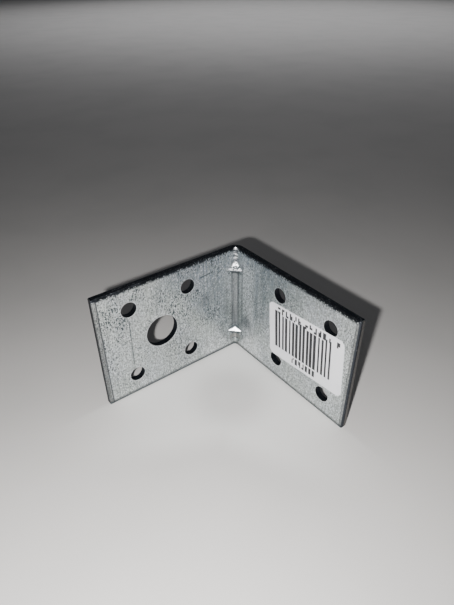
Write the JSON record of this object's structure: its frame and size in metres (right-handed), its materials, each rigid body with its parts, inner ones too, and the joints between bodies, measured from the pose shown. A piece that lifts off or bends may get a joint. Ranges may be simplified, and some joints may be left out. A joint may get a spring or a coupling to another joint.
{
  "type": "corner brace bracket",
  "caption": "Right-angled sheet steel corner brace with nail holes, a bolt hole, a gusset pressed into the fold and a paper label.",
  "frame": {"origin": "where the planes of the two outer faces meet, at the lower long edge of the strip; the heel itself is rounded off inside that corner", "axes": "+Z along the fold, +X along leg one, which has the bolt hole, and +Y along leg two, which has the label; the inside of the corner opens towards +X and +Y"},
  "size_m": [0.0523, 0.0531, 0.04],
  "materials": {
    "zinc_steel": "dull hot-dip galvanised sheet with fine drawing lines, and dark bare steel on the sheared edges",
    "label_paper": "smooth white label paper with a field of plain black bars"
  },
  "bodies": {
    "root": {"bracket": "zinc_steel", "paper_label": "label_paper"}
  },
  "joints": []
}
